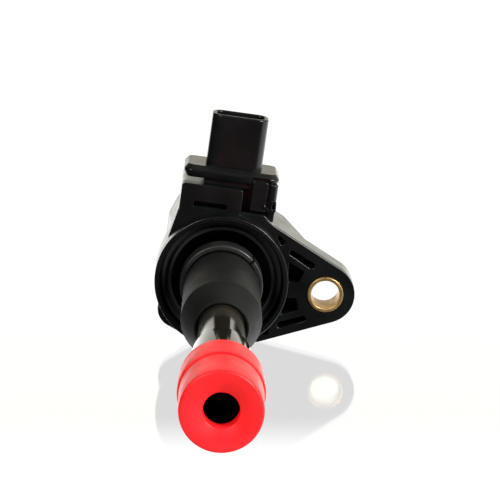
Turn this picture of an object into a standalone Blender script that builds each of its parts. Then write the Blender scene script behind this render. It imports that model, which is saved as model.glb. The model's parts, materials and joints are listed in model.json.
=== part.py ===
"""Coil-on-plug ignition coil, lying on its side as it is put down on a bench.

Every piece is modelled in the coil's own frame: +Y runs along the coil's axis from the boot's
face to the head, +X is to the right seen from the boot, and +Z is up. Two empties then place
them: coil_axis tilts the whole coil until it lies on its boot and its collar, and head_roll
turns the head about the axis, because the coil rolls over onto the flange's lower corner.
Lengths are in millimetres, and become metres where a mesh is made.
"""

import math

import bmesh
import bpy
from mathutils import Matrix, Vector

MM = 0.001
GAP = 0.3

SEGMENTS = 48
SMALL_SEGMENTS = 24
FINE_SEGMENTS = 32

# Positions along the coil's axis, from the front of the boot's bore
BOOT_FACE = -1.5
BOOT_EDGE = 1.8
TUBE_FRONT = 4.6
BOOT_STEP = 12.9
BOOT_REAR = 27.0
CUP_FRONT = 40.0
CUP_LENGTH = 5.5
CUP_TRAVEL = 5.0
TUBE_SHOULDER = 48.6
TUBE_STEP = 50.4
RESISTOR_FRONT = 62.3
RESISTOR_LENGTH = 14.0
SLEEVE_LIP = 77.4
SLEEVE_SHOULDER = 86.2
TUBE_REAR = 90.2
WINDING_FRONT = 92.0
WINDING_REAR = 142.0
SLEEVE_REAR = 120.8
NECK_FRONT = 121.1
RING_FRONT = 124.9
RING_REAR = 131.7
COLLAR_FACE = 130.0
SEAL_FRONT = 134.0
FLANGE_FACE = 137.0
BOX_FRONT = 141.5
MOAT_FLOOR = 146.0
COLLAR_REAR = 147.4
CAVITY_FRONT = 147.7
BODY_FRONT = 148.0
EAR_REAR = 148.9
RESIN_REAR = 162.6
HEAD_REAR = 163.5

# Radii about the coil's axis
BOOT_FRONT_R = 10.4
BOOT_R = 10.95
BOOT_REAR_R = 10.7
BOOT_BORE_R = 4.5
TUBE_R = 7.75
TUBE_STEP_R = 6.25
TUBE_NECK_R = 6.55
TUBE_BORE_R = 5.5
TUBE_NARROW_R = 3.1
SLEEVE_LIP_R = 6.85
SLEEVE_R = 11.1
SLEEVE_REAR_R = 10.85
SLEEVE_INNER_R = 9.4
NECK_R = 10.3
RING_R = 11.96
MOAT_R = 17.85
COLLAR_R = 19.36
CORE_R = 3.9
SEAM_ANGLE = math.radians(38.5)

# The head, in its own frame
WALL = 1.7
BLOCK_LEFT = -15.0
BLOCK_RIGHT = 2.9
BLOCK_TOP = 26.2
BUSH_X = 30.84
BUSH_Z = -1.23
BUSH_R = 5.25
BUSH_BORE_R = 4.15
EAR_TIP_R = 8.6
POCKET_DEPTH = 8.0

# The connector, in the head's frame
PLATE_BOTTOM = 27.9
PLATE_TOP = 31.4
CONNECTOR_X = -0.7
CONNECTOR_ALONG = 146.0
CONNECTOR_WIDTH = 16.4
CONNECTOR_DEPTH = 9.6
CONNECTOR_CORNER = 3.2
CONNECTOR_TOP = 46.6
CONNECTOR_WALL = 1.3
SOCKET_FLOOR = 33.4
PIN_PITCH = 4.2
PIN_WIDTH = 2.2
PIN_THICKNESS = 0.8
PIN_TOP = 40.6
PIN_FOOT = 22.6

HEAD_ROLL = math.radians(8.0)
TILT = math.atan2(COLLAR_R - BOOT_FRONT_R, COLLAR_FACE - BOOT_FACE - BOOT_EDGE)

COLOURS = {
    "red_silicone": ((0.80, 0.022, 0.022), 0.42, 0.0),
    "gloss_black_plastic": ((0.012, 0.011, 0.010), 0.12, 0.0),
    "satin_black_plastic": ((0.014, 0.014, 0.014), 0.38, 0.0),
    "matt_black_plastic": ((0.022, 0.023, 0.022), 0.55, 0.0),
    "black_rubber": ((0.010, 0.010, 0.010), 0.72, 0.0),
    "grey_steel": ((0.30, 0.30, 0.29), 0.38, 1.0),
    "brass": ((0.72, 0.50, 0.18), 0.28, 1.0),
    "tinned_copper": ((0.74, 0.72, 0.68), 0.30, 1.0),
    "spring_steel": ((0.55, 0.55, 0.56), 0.25, 1.0),
    "core_steel": ((0.33, 0.33, 0.34), 0.40, 1.0),
    "magnet": ((0.12, 0.12, 0.13), 0.35, 0.8),
    "copper_wire": ((0.62, 0.25, 0.09), 0.35, 1.0),
    "bobbin_plastic": ((0.66, 0.60, 0.45), 0.50, 0.0),
    "ceramic": ((0.72, 0.69, 0.62), 0.45, 0.0),
    "aluminium": ((0.78, 0.78, 0.79), 0.35, 1.0),
    "epoxy": ((0.018, 0.016, 0.014), 0.20, 0.0),
}


# ---------------------------------------------------------------- scene helpers


def clear_scene():
    """Removes every object, so that the model starts from nothing."""
    for ob in list(bpy.data.objects):
        bpy.data.objects.remove(ob, do_unlink=True)


def material(name):
    """The named Principled material, made once."""
    found = bpy.data.materials.get(name)
    if found:
        return found
    colour, roughness, metallic = COLOURS[name]
    mat = bpy.data.materials.new(name)
    mat.use_nodes = True
    shader = mat.node_tree.nodes["Principled BSDF"]
    shader.inputs["Base Color"].default_value = (*colour, 1.0)
    shader.inputs["Roughness"].default_value = roughness
    shader.inputs["Metallic"].default_value = metallic
    return mat


def empty(name, parent=None):
    ob = bpy.data.objects.new(name, None)
    bpy.context.scene.collection.objects.link(ob)
    ob.parent = parent
    return ob


def make(name, bm, parent, mat=None, smooth_deg=35.0):
    """Turns a bmesh in millimetres into a named object in metres."""
    bmesh.ops.recalc_face_normals(bm, faces=bm.faces)
    bmesh.ops.scale(bm, vec=(MM, MM, MM), verts=bm.verts)
    mesh = bpy.data.meshes.new(name)
    bm.to_mesh(mesh)
    bm.free()
    ob = bpy.data.objects.new(name, mesh)
    bpy.context.scene.collection.objects.link(ob)
    ob.parent = parent
    if mat:
        mesh.materials.append(material(mat))
    mesh.shade_smooth()
    mesh.set_sharp_from_angle(angle=math.radians(smooth_deg))
    return ob


def boolean(ob, operation, *shapes):
    """Joins or cuts shapes, whose tools are helpers and not part of the coil."""
    for shape in shapes:
        tool = make(f"tool_{ob.name}_{len(ob.modifiers)}", shape, ob.parent)
        tool.hide_render = True
        tool.display_type = "WIRE"
        mod = ob.modifiers.new(tool.name, "BOOLEAN")
        mod.operation = operation
        mod.object = tool
        mod.solver = "EXACT"
    return ob


# ---------------------------------------------------------------- shape helpers


def lathe(profile, segments=SEGMENTS, centre=(0.0, 0.0), start=0.0, sweep=360.0):
    """A body turned about the Y direction from a closed loop of (along, radius) points.
    With a sweep below 360 degrees it is a split ring with flat ends."""
    bm = bmesh.new()
    closed = sweep >= 360.0
    count = segments if closed else segments + 1
    rings = []
    for along, radius in profile:
        if radius <= 0.0:
            rings.append([bm.verts.new((centre[0], along, centre[1]))])
            continue
        ring = []
        for i in range(count):
            a = math.radians(start + sweep * i / segments)
            x = centre[0] + radius * math.cos(a)
            z = centre[1] + radius * math.sin(a)
            ring.append(bm.verts.new((x, along, z)))
        rings.append(ring)
    for first, second in zip(rings, rings[1:] + rings[:1]):
        for i in range(segments):
            j = (i + 1) % count
            corners = [first[i % len(first)], first[j % len(first)],
                       second[j % len(second)], second[i % len(second)]]
            loop = list(dict.fromkeys(corners))
            if len(loop) > 2:
                bm.faces.new(loop)
    if not closed:
        bm.faces.new([ring[0] for ring in rings])
        bm.faces.new([ring[-1] for ring in rings])
    return bm


def rod(start, end, radius, segments=SEGMENTS, centre=(0.0, 0.0)):
    """A solid round bar along Y."""
    profile = [(start, 0.0), (start, radius), (end, radius), (end, 0.0)]
    return lathe(profile, segments, centre)


def pipe(start, end, outer, inner):
    """A straight tube along Y."""
    return lathe([(start, inner), (start, outer), (end, outer), (end, inner)])


def spool(start, end, tube_outer, tube_inner, flange_r, flange_t):
    """A winding bobbin: a tube with a flange at each end."""
    profile = [(start, tube_inner), (start, flange_r), (start + flange_t, flange_r),
               (start + flange_t, tube_outer), (end - flange_t, tube_outer),
               (end - flange_t, flange_r), (end, flange_r), (end, tube_inner)]
    return lathe(profile)


def around(circles, steps=5):
    """The convex outline of a belt laid round circles (x, z, radius), listed clockwise or not.
    Every circle gives steps + 1 points, so two outlines of as many circles can be lofted."""
    count = len(circles)
    area = sum(circles[i - 1][0] * circles[i][1] - circles[i][0] * circles[i - 1][1]
               for i in range(count))
    turn = 1.0 if area > 0.0 else -1.0
    normals = []
    for i in range(count):
        x0, z0, r0 = circles[i]
        x1, z1, r1 = circles[(i + 1) % count]
        heading = math.atan2(z1 - z0, x1 - x0)
        lean = math.acos((r0 - r1) / math.hypot(x1 - x0, z1 - z0))
        normals.append(heading - turn * lean)
    outline = []
    for i, (x, z, r) in enumerate(circles):
        first = normals[i - 1]
        swing = (turn * (normals[i] - first)) % (2.0 * math.pi)
        for k in range(steps + 1):
            a = first + turn * swing * k / steps
            outline.append((x + r * math.cos(a), z + r * math.sin(a)))
    return outline


def inset(circles, distance):
    return [(x, z, r - distance) for x, z, r in circles]


def rectangle(x0, x1, v0, v1, r=0.3, steps=3):
    """A rectangle with round corners, as an outline."""
    return around([(x0 + r, v0 + r, r), (x1 - r, v0 + r, r), (x1 - r, v1 - r, r),
                   (x0 + r, v1 - r, r)], steps)


def loft(low_outline, low, high_outline, high, upright=False):
    """A body between two outlines of as many points. They are (x, z) and it runs along Y,
    or with upright they are (x, along) and it runs along Z."""
    bm = bmesh.new()

    def ring(outline, level):
        if upright:
            return [bm.verts.new((u, v, level)) for u, v in outline]
        return [bm.verts.new((u, level, v)) for u, v in outline]

    first, second = ring(low_outline, low), ring(high_outline, high)
    bm.faces.new(first)
    bm.faces.new(second)
    count = len(first)
    for i in range(count):
        j = (i + 1) % count
        bm.faces.new((first[i], first[j], second[j], second[i]))
    return bm


def prism(outline, start, end, upright=False):
    return loft(outline, start, outline, end, upright)


def sideways(outline, x0, x1):
    """A body whose (along, z) outline runs from x0 to x1."""
    bm = prism(outline, x0, x1)
    swap = Matrix(((0.0, 1.0, 0.0), (1.0, 0.0, 0.0), (0.0, 0.0, 1.0)))
    bmesh.ops.transform(bm, matrix=swap.to_4x4(), verts=bm.verts)
    return bm


def wire(points, radius, segments=8):
    """A round wire through the points."""
    bm = bmesh.new()
    path = [Vector(p) for p in points]
    side = Vector((1.0, 0.0, 0.0))
    rings = []
    for i, p in enumerate(path):
        ahead = (path[min(i + 1, len(path) - 1)] - path[max(i - 1, 0)]).normalized()
        side = (side - ahead * side.dot(ahead)).normalized()
        other = ahead.cross(side)
        ring = []
        for k in range(segments):
            a = 2.0 * math.pi * k / segments
            offset = side * math.cos(a) + other * math.sin(a)
            ring.append(bm.verts.new(p + offset * radius))
        rings.append(ring)
    for first, second in zip(rings, rings[1:]):
        for k in range(segments):
            j = (k + 1) % segments
            bm.faces.new((first[k], first[j], second[j], second[k]))
    bm.faces.new(rings[0])
    bm.faces.new(rings[-1])
    return bm


def bend(start, middle, end, steps=8):
    """Points on a smooth curve from start to end, drawn towards middle."""
    a, b, c = Vector(start), Vector(middle), Vector(end)
    points = []
    for i in range(steps + 1):
        t = i / steps
        points.append(a * (1 - t) ** 2 + b * 2 * t * (1 - t) + c * t ** 2)
    return points


# ---------------------------------------------------------------- plug end


def spark_plug_boot(axis):
    """Silicone boot: a dished mouth and the plug's bore in front, the tube's socket behind."""
    face_edge = []
    for degrees in (90.0, 67.5, 45.0, 22.5, 0.0):
        a = math.radians(degrees)
        back, down = BOOT_EDGE * (1.0 - math.sin(a)), BOOT_EDGE * (1.0 - math.cos(a))
        face_edge.append((BOOT_FACE + back, BOOT_FRONT_R - down))
    groove = [(BOOT_STEP, BOOT_R - 0.45), (BOOT_STEP + 0.3, BOOT_R - 0.9),
              (BOOT_STEP + 0.8, BOOT_R - 0.9), (BOOT_STEP + 1.1, BOOT_R)]
    rear = [(BOOT_REAR - 1.4, BOOT_REAR_R), (BOOT_REAR - 0.4, BOOT_REAR_R - 0.4),
            (BOOT_REAR, BOOT_REAR_R - 1.2)]
    socket, seat = TUBE_R + GAP, TUBE_FRONT - GAP
    inside = [(BOOT_REAR, socket), (seat, socket), (seat, BOOT_BORE_R), (0.0, BOOT_BORE_R),
              (BOOT_FACE + 0.75, BOOT_BORE_R + 0.75), (BOOT_FACE + 0.2, BOOT_BORE_R + 2.2)]
    make("spark_plug_boot", lathe(face_edge + groove + rear + inside), axis, "red_silicone")


def hv_tube(axis):
    """High-tension tube: wide over the plug's insulator, then stepped down up to the coil."""
    cup_stop = CUP_FRONT + CUP_LENGTH + CUP_TRAVEL
    flange_front = TUBE_REAR - 2.0
    flange_r = SLEEVE_INNER_R - GAP
    profile = [
        (TUBE_FRONT, TUBE_BORE_R), (TUBE_FRONT, TUBE_R - 0.5), (TUBE_FRONT + 0.5, TUBE_R),
        (TUBE_SHOULDER, TUBE_R), (TUBE_STEP, TUBE_STEP_R), (SLEEVE_LIP, TUBE_NECK_R),
        (flange_front, TUBE_NECK_R),
        (flange_front, flange_r), (TUBE_REAR, flange_r), (TUBE_REAR, TUBE_NARROW_R),
        (cup_stop + 3.6, TUBE_NARROW_R), (cup_stop + 0.8, TUBE_BORE_R),
    ]
    make("hv_tube", lathe(profile), axis, "gloss_black_plastic")


def contact_cup(axis):
    """Pressed cup that sits on the spark plug's terminal. Its rim slides in the tube's bore."""
    outer, inner, rim, floor = 4.1, 3.4, TUBE_BORE_R - GAP, CUP_LENGTH - 0.8
    profile = [(0.0, inner + 0.25), (0.0, outer), (floor, outer), (floor, rim), (CUP_LENGTH, rim),
               (CUP_LENGTH, 0.0), (floor, 0.0), (floor, inner), (0.5, inner)]
    ob = make("contact_cup", lathe(profile, SMALL_SEGMENTS), axis, "spring_steel")
    ob.location = (0.0, CUP_FRONT * MM, 0.0)


def contact_spring(axis):
    """Compression spring between the cup and the resistor, with closed ends."""
    wire_r, coil_r = 0.35, 2.45
    turns, per_turn, closed, closed_lead = 9, 14, 0.75, 0.8
    start = CUP_FRONT + CUP_LENGTH + GAP + wire_r
    end = RESISTOR_FRONT - GAP - wire_r
    open_lead = (end - start) - 2.0 * closed * closed_lead
    points = []
    for i in range(turns * per_turn + 1):
        turn = i / per_turn
        share = min(max((turn - closed) / (turns - 2.0 * closed), 0.0), 1.0)
        at_ends = min(turn, closed) + max(turn - (turns - closed), 0.0)
        along = start + at_ends * closed_lead + share * open_lead
        a = 2.0 * math.pi * turn
        points.append((coil_r * math.cos(a), along, coil_r * math.sin(a)))
    make("contact_spring", wire(points, wire_r, 6), axis, "spring_steel", 60.0)


def suppression_resistor(axis):
    """Ceramic resistor with a shoulder at each end for its caps."""
    start, end = RESISTOR_FRONT, RESISTOR_FRONT + RESISTOR_LENGTH
    cap, body_r, cap_r, edge = 2.2, 2.3, 2.6, 0.3
    profile = [(start, 0.0), (start, cap_r - edge), (start + edge, cap_r), (start + cap, cap_r),
               (start + cap + 0.2, body_r), (end - cap - 0.2, body_r), (end - cap, cap_r),
               (end - edge, cap_r), (end, cap_r - edge), (end, 0.0)]
    make("suppression_resistor", lathe(profile, SMALL_SEGMENTS), axis, "ceramic")


def hv_terminal(axis):
    """Brass pin that carries the high tension from the winding to the resistor."""
    start = RESISTOR_FRONT + RESISTOR_LENGTH + GAP
    disc = TUBE_REAR + GAP
    profile = [(start, 0.0), (start, 2.2), (start + 0.4, 2.6), (disc, 2.6), (disc, 3.9),
               (disc + 1.0, 3.9), (disc + 1.0, 0.0)]
    make("hv_terminal", lathe(profile, SMALL_SEGMENTS), axis, "brass")


# ---------------------------------------------------------------- coil body


def coil_sleeve(axis):
    """Matt sleeve round the windings. Its cone leaves a gap round the tube."""
    seat = TUBE_REAR - 2.0 - GAP
    profile = [
        (SLEEVE_LIP, SLEEVE_LIP_R), (SLEEVE_LIP, SLEEVE_LIP_R + 0.45), (SLEEVE_SHOULDER, SLEEVE_R),
        (SLEEVE_REAR, SLEEVE_REAR_R), (SLEEVE_REAR, SLEEVE_INNER_R), (seat, SLEEVE_INNER_R),
        (seat, SLEEVE_LIP_R),
    ]
    make("coil_sleeve", lathe(profile), axis, "matt_black_plastic")


def split_ring(section, slit_width, radius):
    """A ring with an open seam at the upper right."""
    slit = math.degrees(slit_width / radius)
    start = math.degrees(SEAM_ANGLE) + slit / 2.0
    return lathe(section, SEGMENTS, (0.0, 0.0), start, 360.0 - slit)


def retaining_ring(axis):
    """Split ring that clamps behind the sleeve."""
    inner, edge = NECK_R + GAP, 0.35
    section = [(RING_FRONT, inner), (RING_FRONT, RING_R - edge), (RING_FRONT + edge, RING_R),
               (RING_REAR - edge, RING_R), (RING_REAR, RING_R - edge), (RING_REAR, inner)]
    make("retaining_ring", split_ring(section, 0.7, RING_R), axis, "grey_steel")


def plug_well_seal(axis):
    """Rubber ring at the bottom of the moat, with two sealing lips towards the mouth."""
    inner, outer = 14.5, MOAT_R - GAP
    front, rear = SEAL_FRONT, MOAT_FLOOR - GAP
    middle = (inner + outer) / 2.0
    profile = [(front + 0.6, inner), (front, inner + 0.5), (front + 0.4, inner + 1.0),
               (front + 2.0, middle), (front + 0.4, outer - 1.0), (front, outer - 0.5),
               (front + 0.6, outer), (rear, outer), (rear, inner)]
    make("plug_well_seal", lathe(profile), axis, "black_rubber")


def laminated_outline():
    """Cross-section of a core stacked from sheets of four widths, which fills a circle."""
    half_widths = (1.3, 2.5, 3.4, 3.8)
    quarter = []
    top = None
    for x in half_widths:
        if top is not None:
            quarter.append((quarter[-1][0], math.sqrt(CORE_R ** 2 - x ** 2)))
        top = math.sqrt(CORE_R ** 2 - x ** 2)
        quarter.append((x, top))
    lower = [(x, -z) for x, z in reversed(quarter)]
    left_low = [(-x, -z) for x, z in quarter]
    left_high = [(-x, z) for x, z in reversed(quarter)]
    return quarter + lower + left_low + left_high


def core_stack(axis):
    """The iron core between two bias magnets, with a rubber cushion at each end."""
    cushion, magnet = 1.5, 3.0
    room = WINDING_REAR - WINDING_FRONT - 2.0 * GAP
    core_length = room - 2.0 * (cushion + magnet) - 4.0 * GAP
    stack = (("core_cushion_front", cushion, "black_rubber"), ("core_magnet_front", magnet, "magnet"),
             ("central_core", core_length, "core_steel"), ("core_magnet_rear", magnet, "magnet"),
             ("core_cushion_rear", cushion, "black_rubber"))
    at = WINDING_FRONT + GAP
    for name, length, mat in stack:
        if name == "central_core":
            shape = prism(laminated_outline(), at, at + length)
        else:
            shape = rod(at, at + length, CORE_R, FINE_SEGMENTS)
        make(name, shape, axis, mat)
        at += length + GAP


def windings(axis):
    """Secondary inside primary, each on its bobbin, and the rolled outer core round both."""
    front, rear, flange = WINDING_FRONT, WINDING_REAR, 0.8
    bobbin = spool(front, rear, 4.8, CORE_R + GAP, 6.2, flange)
    make("secondary_bobbin", bobbin, axis, "bobbin_plastic")
    first, last, inner = front + flange + GAP, rear - flange - GAP, 4.8 + GAP
    banked = [(first, inner), (first, 5.5), (first + 3.0, 6.1), (last - 3.0, 6.1), (last, 5.5),
              (last, inner)]
    make("secondary_winding", lathe(banked), axis, "copper_wire")
    make("primary_bobbin", spool(front, rear, 7.1, 6.5, 8.1, 1.0), axis, "bobbin_plastic")
    turns = pipe(front + 1.0 + GAP, rear - 1.0 - GAP, 8.0, 7.4)
    make("primary_winding", turns, axis, "copper_wire")
    sheet = [(front + 3.0, 8.4), (front + 3.0, 9.1), (rear - 1.0, 9.1), (rear - 1.0, 8.4)]
    make("outer_core", split_ring(sheet, 1.0, 9.1), axis, "core_steel")


# ---------------------------------------------------------------- head


def flange_circles():
    """Belt of the flange: the ear's tip, the foot that meets the bench, two lobes, the collar."""
    foot_r, foot_x = 3.5, 10.0
    drop = COLLAR_R + (FLANGE_FACE - COLLAR_FACE) * math.tan(TILT) - foot_r
    c, s = math.cos(HEAD_ROLL), math.sin(HEAD_ROLL)
    foot = (foot_x * c + drop * s, foot_x * s - drop * c, foot_r)
    return [(BUSH_X, BUSH_Z, EAR_TIP_R), foot, (-5.5, -15.2, 4.4), (-11.5, -11.4, 5.7),
            (-13.7, 8.0, 3.5), (-12.3, 17.0, 3.0), (8.0, 17.6, 1.5)]


# The electronics box, and the wider body that is moulded round its lower part
BOX_CIRCLES = ((-12.8, 24.0, 2.2), (10.7, 24.0, 2.2), (8.9, -9.0, 4.0), (5.5, -12.0, 4.5),
               (-6.5, -12.0, 4.5), (-11.0, -9.0, 4.0))
BODY_FRONT_CIRCLES = ((-13.6, 11.2, 2.9), (-12.2, 15.4, 2.9), (13.0, 13.0, 2.5), (12.6, -9.0, 4.0),
                      (8.0, -12.0, 4.5), (-8.0, -12.0, 4.5), (-12.4, -9.0, 4.0))
BODY_REAR_CIRCLES = ((-14.5, 11.2, 2.9), (-12.9, 15.6, 2.9), (13.9, 12.8, 2.5), (13.3, -9.0, 4.0),
                     (8.0, -13.0, 4.5), (-8.0, -13.0, 4.5), (-13.4, -9.0, 4.0))


def gusset(foot, tip, thickness, rise, knee):
    """A rib on the ear's rear face beside the box. It keeps its full rise over the knee's share
    of its length, and slopes down to the ear from there."""
    foot, tip = Vector(foot), Vector(tip)
    along = (tip - foot).normalized()
    half = Vector((-along.y, along.x)) * (thickness / 2.0)
    sunk, bend_at = EAR_REAR - 1.0, foot.lerp(tip, knee)
    bm = bmesh.new()
    rows = []
    for side in (half, -half):
        near, middle, far = foot + side, bend_at + side, tip + side
        corners = [(near, sunk), (near, rise), (middle, rise), (far, EAR_REAR + 0.6), (far, sunk)]
        rows.append([bm.verts.new((p.x, level, p.y)) for p, level in corners])
    bm.faces.new(rows[0])
    bm.faces.new(rows[1])
    count = len(rows[0])
    for k in range(count):
        j = (k + 1) % count
        bm.faces.new((rows[0][k], rows[0][j], rows[1][j], rows[1][k]))
    return bm


def ear_pockets():
    """The lightening pockets in the ear's front face, as outlines."""
    upper_slot = around([(19.4, 9.75, 0.75), (25.6, 6.75, 0.95)], 6)
    upper_pocket = around([(19.4, 6.3, 0.5), (23.2, 4.35, 0.5), (22.1, 1.7, 0.5), (20.0, 1.5, 0.5)], 3)
    lower_pocket = around([(20.0, -4.2, 0.5), (22.3, -4.2, 0.5), (22.9, -6.6, 0.5), (19.2, -8.4, 0.5)], 3)
    lower_slot = around([(19.0, -12.1, 0.95), (25.4, -9.3, 0.8)], 6)
    corner_pocket = around([(13.0, -15.6, 0.7), (15.2, -14.9, 0.7), (15.0, -13.9, 0.7)], 3)
    upper_corner = around([(15.0, 13.9, 0.5), (16.5, 12.6, 0.5), (16.2, 12.0, 0.4)], 3)
    return (upper_slot, upper_pocket, lower_pocket, lower_slot, corner_pocket, upper_corner)


def head_housing(head):
    """Moulded head: collar and moat, neck, flange with its ear, and the electronics box."""
    collar_edge = 0.3
    collar = [(COLLAR_FACE, 0.0), (COLLAR_FACE, COLLAR_R - collar_edge),
              (COLLAR_FACE + collar_edge, COLLAR_R), (COLLAR_REAR, COLLAR_R), (COLLAR_REAR, 0.0)]
    ob = make("head_housing", lathe(collar), head, "satin_black_plastic")
    web = around([(15.8, 13.5, 0.6), (9.6, 18.9, 0.8), (0.0, 18.9, 0.8), (8.0, 8.0, 0.8)], 3)
    boolean(
        ob, "UNION",
        prism(around(flange_circles(), 10), FLANGE_FACE, EAR_REAR),
        prism(web, FLANGE_FACE + 0.02, EAR_REAR - 0.02),
        prism(rectangle(BLOCK_LEFT, BLOCK_RIGHT, 12.0, BLOCK_TOP, 0.9), FLANGE_FACE - 0.02, BOX_FRONT + 1.0),
        prism(around(BOX_CIRCLES), BOX_FRONT, HEAD_REAR),
        loft(around(BODY_FRONT_CIRCLES), BODY_FRONT, around(BODY_REAR_CIRCLES), HEAD_REAR - 1.2),
        gusset((11.5, 16.53), (22.8, 11.12), 1.8, HEAD_REAR - 0.3, 0.45),
        gusset((14.0, -12.5), (26.0, -10.6), 1.8, HEAD_REAR - 4.0, 0.1),
    )
    boolean(ob, "DIFFERENCE", rod(COLLAR_FACE - 2.0, MOAT_FLOOR, MOAT_R))
    boolean(ob, "UNION", rod(NECK_FRONT, MOAT_FLOOR + 0.8, NECK_R))
    boolean(
        ob, "DIFFERENCE",
        rod(NECK_FRONT - 2.0, CAVITY_FRONT + 3.0, SLEEVE_INNER_R),
        prism(around(inset(BOX_CIRCLES, WALL)), CAVITY_FRONT, HEAD_REAR + 2.0),
        prism(rectangle(BLOCK_LEFT + WALL, 11.2, 21.2, BLOCK_TOP - WALL, 0.5), BOX_FRONT + 1.7,
              CAVITY_FRONT + 1.0),
        prism(rectangle(-7.6, 6.2, 143.6, 148.4, 0.5), BLOCK_TOP - 3.0, BLOCK_TOP + 2.0, True),
        rod(FLANGE_FACE - 2.0, EAR_REAR + 2.0, BUSH_R + GAP, FINE_SEGMENTS, (BUSH_X, BUSH_Z)),
        prism(rectangle(-10.9, -1.3, 19.7, 21.3, 0.15), FLANGE_FACE - 1.0, FLANGE_FACE + 3.0),
        *[prism(outline, FLANGE_FACE - 1.0, FLANGE_FACE + POCKET_DEPTH) for outline in ear_pockets()],
    )


def connector_housing(head):
    """Top plate, undercut at its left end and with a framed leg at its right, the skirt that
    enters the head, and the plug's socket."""
    centre_x, centre_y = CONNECTOR_X, CONNECTOR_ALONG
    half_w, half_d, corner = CONNECTOR_WIDTH / 2.0, CONNECTOR_DEPTH / 2.0, CONNECTOR_CORNER
    plate_low = rectangle(-14.2, 12.0, 138.7, 154.4, 2.0)
    plate_high = rectangle(-15.0, 12.8, 137.9, 155.2, 2.8)
    ob = make("connector_housing", loft(plate_low, PLATE_BOTTOM, plate_high, PLATE_BOTTOM + 2.0, True),
              head, "satin_black_plastic")
    step = rectangle(-14.2, 12.0, 139.4, 154.4, 2.2)
    outer = rectangle(centre_x - half_w, centre_x + half_w, centre_y - half_d, centre_y + half_d,
                      corner, 6)
    cavity_w, cavity_d = half_w - CONNECTOR_WALL, half_d - CONNECTOR_WALL
    cavity = rectangle(centre_x - cavity_w, centre_x + cavity_w, centre_y - cavity_d,
                       centre_y + cavity_d, corner - CONNECTOR_WALL, 6)
    rear = centre_y + half_d
    latch = [(rear - 0.6, 38.0), (rear + 1.6, 38.0), (rear + 1.6, 38.8), (rear - 0.6, 42.0)]
    boolean(
        ob, "UNION",
        loft(plate_high, PLATE_BOTTOM + 1.98, step, PLATE_TOP, True),
        prism(rectangle(-8.9, 12.0, 139.6, 153.6, 0.8), BLOCK_TOP + GAP, PLATE_BOTTOM + 0.5, True),
        prism(rectangle(-7.3, 5.9, 143.9, 148.1, 0.4), BLOCK_TOP - 2.0, PLATE_BOTTOM + 0.4, True),
        prism(rectangle(5.3, 12.7, 138.7, 141.1, 0.5), 20.2, PLATE_BOTTOM + 0.6, True),
        prism(rectangle(9.0, 12.8, 137.9, 141.1, 1.4), 20.5, PLATE_BOTTOM + 0.7, True),
        prism(outer, PLATE_BOTTOM + 1.0, CONNECTOR_TOP, True),
        sideways(latch, centre_x - 2.2, centre_x + 2.2),
    )
    hole_w, hole_t = PIN_WIDTH / 2.0 + GAP, PIN_THICKNESS / 2.0 + GAP
    holes = []
    for i in (-1, 0, 1):
        x = centre_x + i * PIN_PITCH
        slot = rectangle(x - hole_w, x + hole_w, centre_y - hole_t, centre_y + hole_t, 0.1, 2)
        holes.append(prism(slot, BLOCK_TOP - 3.0, SOCKET_FLOOR + 1.0, True))
    undercut = rectangle(-16.0, -9.6, 140.0, 156.5)
    boolean(
        ob, "DIFFERENCE",
        prism(cavity, SOCKET_FLOOR, CONNECTOR_TOP + 2.0, True),
        prism(undercut, PLATE_BOTTOM - 1.0, PLATE_BOTTOM + 1.6, True),
        prism(rectangle(4.6, 10.6, 19.0, 30.2, 1.3), 137.0, 138.7),
        *holes,
    )
    boolean(ob, "UNION", prism(rectangle(5.3, 9.9, 20.2, 29.2, 0.8), 138.1, 139.5))


def terminal_pins(head):
    """Three bent blades, from the plug's socket down to the igniter."""
    half_t, reach = PIN_THICKNESS / 2.0, 3.2
    low, y = PIN_FOOT, CONNECTOR_ALONG
    outline = [(y - half_t, low), (y + reach, low), (y + reach, low + PIN_THICKNESS),
               (y + half_t, low + PIN_THICKNESS), (y + half_t, PIN_TOP - 0.8), (y + 0.15, PIN_TOP),
               (y - 0.15, PIN_TOP), (y - half_t, PIN_TOP - 0.8)]
    for i in (-1, 0, 1):
        x = CONNECTOR_X + i * PIN_PITCH
        shape = sideways(outline, x - PIN_WIDTH / 2.0, x + PIN_WIDTH / 2.0)
        make(f"terminal_pin_{i + 2}", shape, head, "tinned_copper")


def mounting_bush(head):
    """Brass compression bush with an inner ring, a little proud of the ear."""
    front, rear, edge = FLANGE_FACE - 0.25, EAR_REAR + 0.25, 0.35
    ledge, ledge_r = front + 7.5, BUSH_BORE_R + 0.45
    profile = [(front + edge, BUSH_BORE_R), (front, BUSH_BORE_R + edge), (front, BUSH_R - edge),
               (front + edge, BUSH_R), (rear - edge, BUSH_R), (rear, BUSH_R - edge), (rear, ledge_r),
               (ledge + 0.3, ledge_r), (ledge, BUSH_BORE_R)]
    shape = lathe(profile, FINE_SEGMENTS, (BUSH_X, BUSH_Z))
    make("mounting_bush", shape, head, "brass")


def electronics(head):
    """Igniter with its heat sink, the primary's leads, and the resin that seals the head."""
    module = rectangle(-9.5, 7.5, 150.4, 159.4, 0.5)
    make("igniter_module", prism(module, 20.0, 23.9, True), head, "epoxy")
    sink = rectangle(-10.5, 8.5, 150.0, 159.6, 0.5)
    make("igniter_heat_sink", prism(sink, 18.5, 19.7, True), head, "aluminium")
    leads = (("primary_lead_supply", -5.0), ("primary_lead_switched", 4.0))
    for name, x in leads:
        start, turn, end = (x, 142.4, 5.6), (x, 151.5, 5.0), (x, 152.5, 17.7)
        make(name, wire(bend(start, turn, end), 0.5), head, "copper_wire")
    outline = around(inset(BOX_CIRCLES, WALL + GAP))
    make("potting_resin", prism(outline, RESIN_REAR - 2.4, RESIN_REAR), head, "epoxy")


# ---------------------------------------------------------------- placing


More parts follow.
